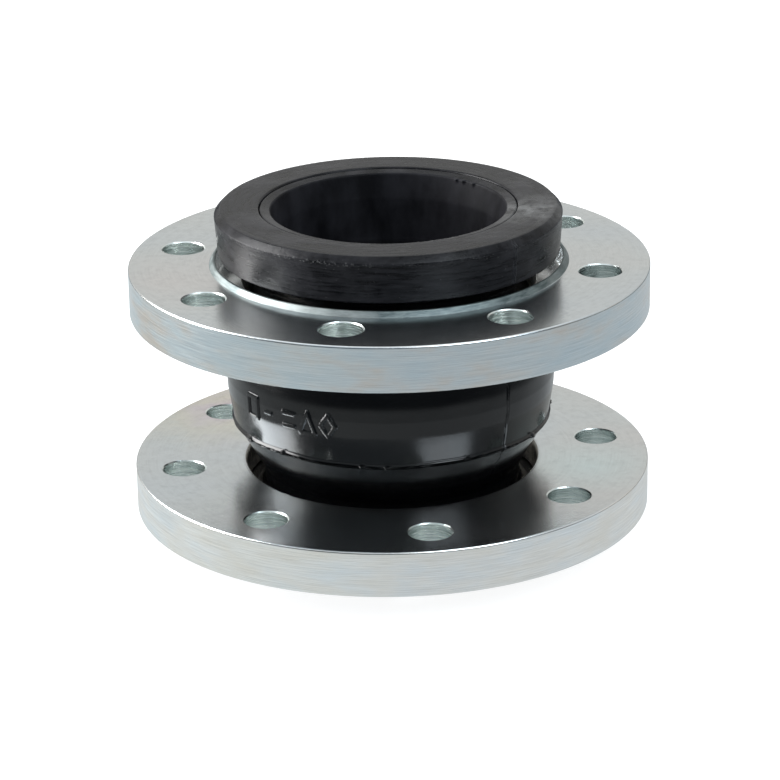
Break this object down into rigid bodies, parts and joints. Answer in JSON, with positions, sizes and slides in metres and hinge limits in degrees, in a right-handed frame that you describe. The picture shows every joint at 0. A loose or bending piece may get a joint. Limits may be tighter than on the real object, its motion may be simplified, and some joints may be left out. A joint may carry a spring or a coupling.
{
  "type": "rubber expansion joint",
  "caption": "Moulded rubber bellows with one arch between two loose, drilled steel flanges, for taking up movement and vibration in a pipe run.",
  "frame": {"origin": "centre of the lower sealing face, which is the bottom of the part", "axes": "+Z along the pipe axis, from the lower sealing face to the upper one; +X to the right of the pictured side and +Y away from it"},
  "size_m": [0.22, 0.22, 0.144],
  "materials": {
    "outer_rubber": "satin",
    "inner_rubber": "matte",
    "filler_rubber": "matte",
    "nylon_cord": "matte",
    "hard_wire": "satin",
    "zinc_plate": "satin"
  },
  "bodies": {
    "lower_end": {"lower_bead_rubber": "outer_rubber", "lower_bead_filler": "filler_rubber", "lower_bead_wire_1": "hard_wire", "lower_bead_wire_2": "hard_wire", "lower_bead_wire_3": "hard_wire", "lower_bead_wire_4": "hard_wire", "lower_bead_wire_5": "hard_wire"},
    "lower_swivel": {"cord_ply_3": "nylon_cord"},
    "lower_flange": {"lower_flange": "zinc_plate"},
    "arch_lower": {"inner_tube": "inner_rubber"},
    "arch_middle": {"outer_cover": "outer_rubber"},
    "arch_upper": {"cord_ply_1": "nylon_cord"},
    "upper_swivel": {"cord_ply_2": "nylon_cord"},
    "upper_flange": {"upper_flange": "zinc_plate"},
    "upper_end": {"upper_bead_rubber": "outer_rubber", "upper_bead_filler": "filler_rubber", "upper_bead_wire_1": "hard_wire", "upper_bead_wire_2": "hard_wire", "upper_bead_wire_3": "hard_wire", "upper_bead_wire_4": "hard_wire", "upper_bead_wire_5": "hard_wire"}
  },
  "joints": [
    {"name": "lower_flange_swivel", "type": "hinge", "parent": "lower_end", "child": "lower_swivel", "pos_m": [0, 0, 0.0226], "axis": [0, 0, 1], "continuous": true},
    {"name": "lower_flange_slide", "type": "slide", "parent": "lower_swivel", "child": "lower_flange", "axis": [0, 0, 1], "range_m": [0, 0.0114]},
    {"name": "bellows_axial_lower", "type": "slide", "parent": "lower_end", "child": "arch_lower", "axis": [0, 0, 1], "range_m": [-0.0072, 0.004], "stiffness_N_per_m": 60000, "deforming": ["outer_cover", "inner_tube", "cord_ply_1", "cord_ply_2", "cord_ply_3"]},
    {"name": "bellows_lateral", "type": "slide", "parent": "arch_lower", "child": "arch_middle", "axis": [1, 0, 0], "range_m": [-0.014, 0.014], "stiffness_N_per_m": 60000},
    {"name": "bellows_angular", "type": "hinge", "parent": "arch_middle", "child": "arch_upper", "pos_m": [0, 0, 0.072], "axis": [0, 1, 0], "range_deg": [-15, 15], "stiffness_Nm_per_rad": 200},
    {"name": "bellows_axial_upper", "type": "slide", "parent": "arch_upper", "child": "upper_end", "axis": [0, 0, 1], "range_m": [-0.0108, 0.006], "stiffness_N_per_m": 40000},
    {"name": "upper_flange_swivel", "type": "hinge", "parent": "arch_upper", "child": "upper_swivel", "pos_m": [0, 0, 0.11], "axis": [0, 0, 1], "continuous": true},
    {"name": "upper_flange_slide", "type": "slide", "parent": "upper_swivel", "child": "upper_flange", "axis": [0, 0, 1], "range_m": [0, 0.0115]}
  ],
  "couplings": [
    {"joint": "bellows_axial_upper", "follows": "bellows_axial_lower", "ratio": 1.5}
  ]
}
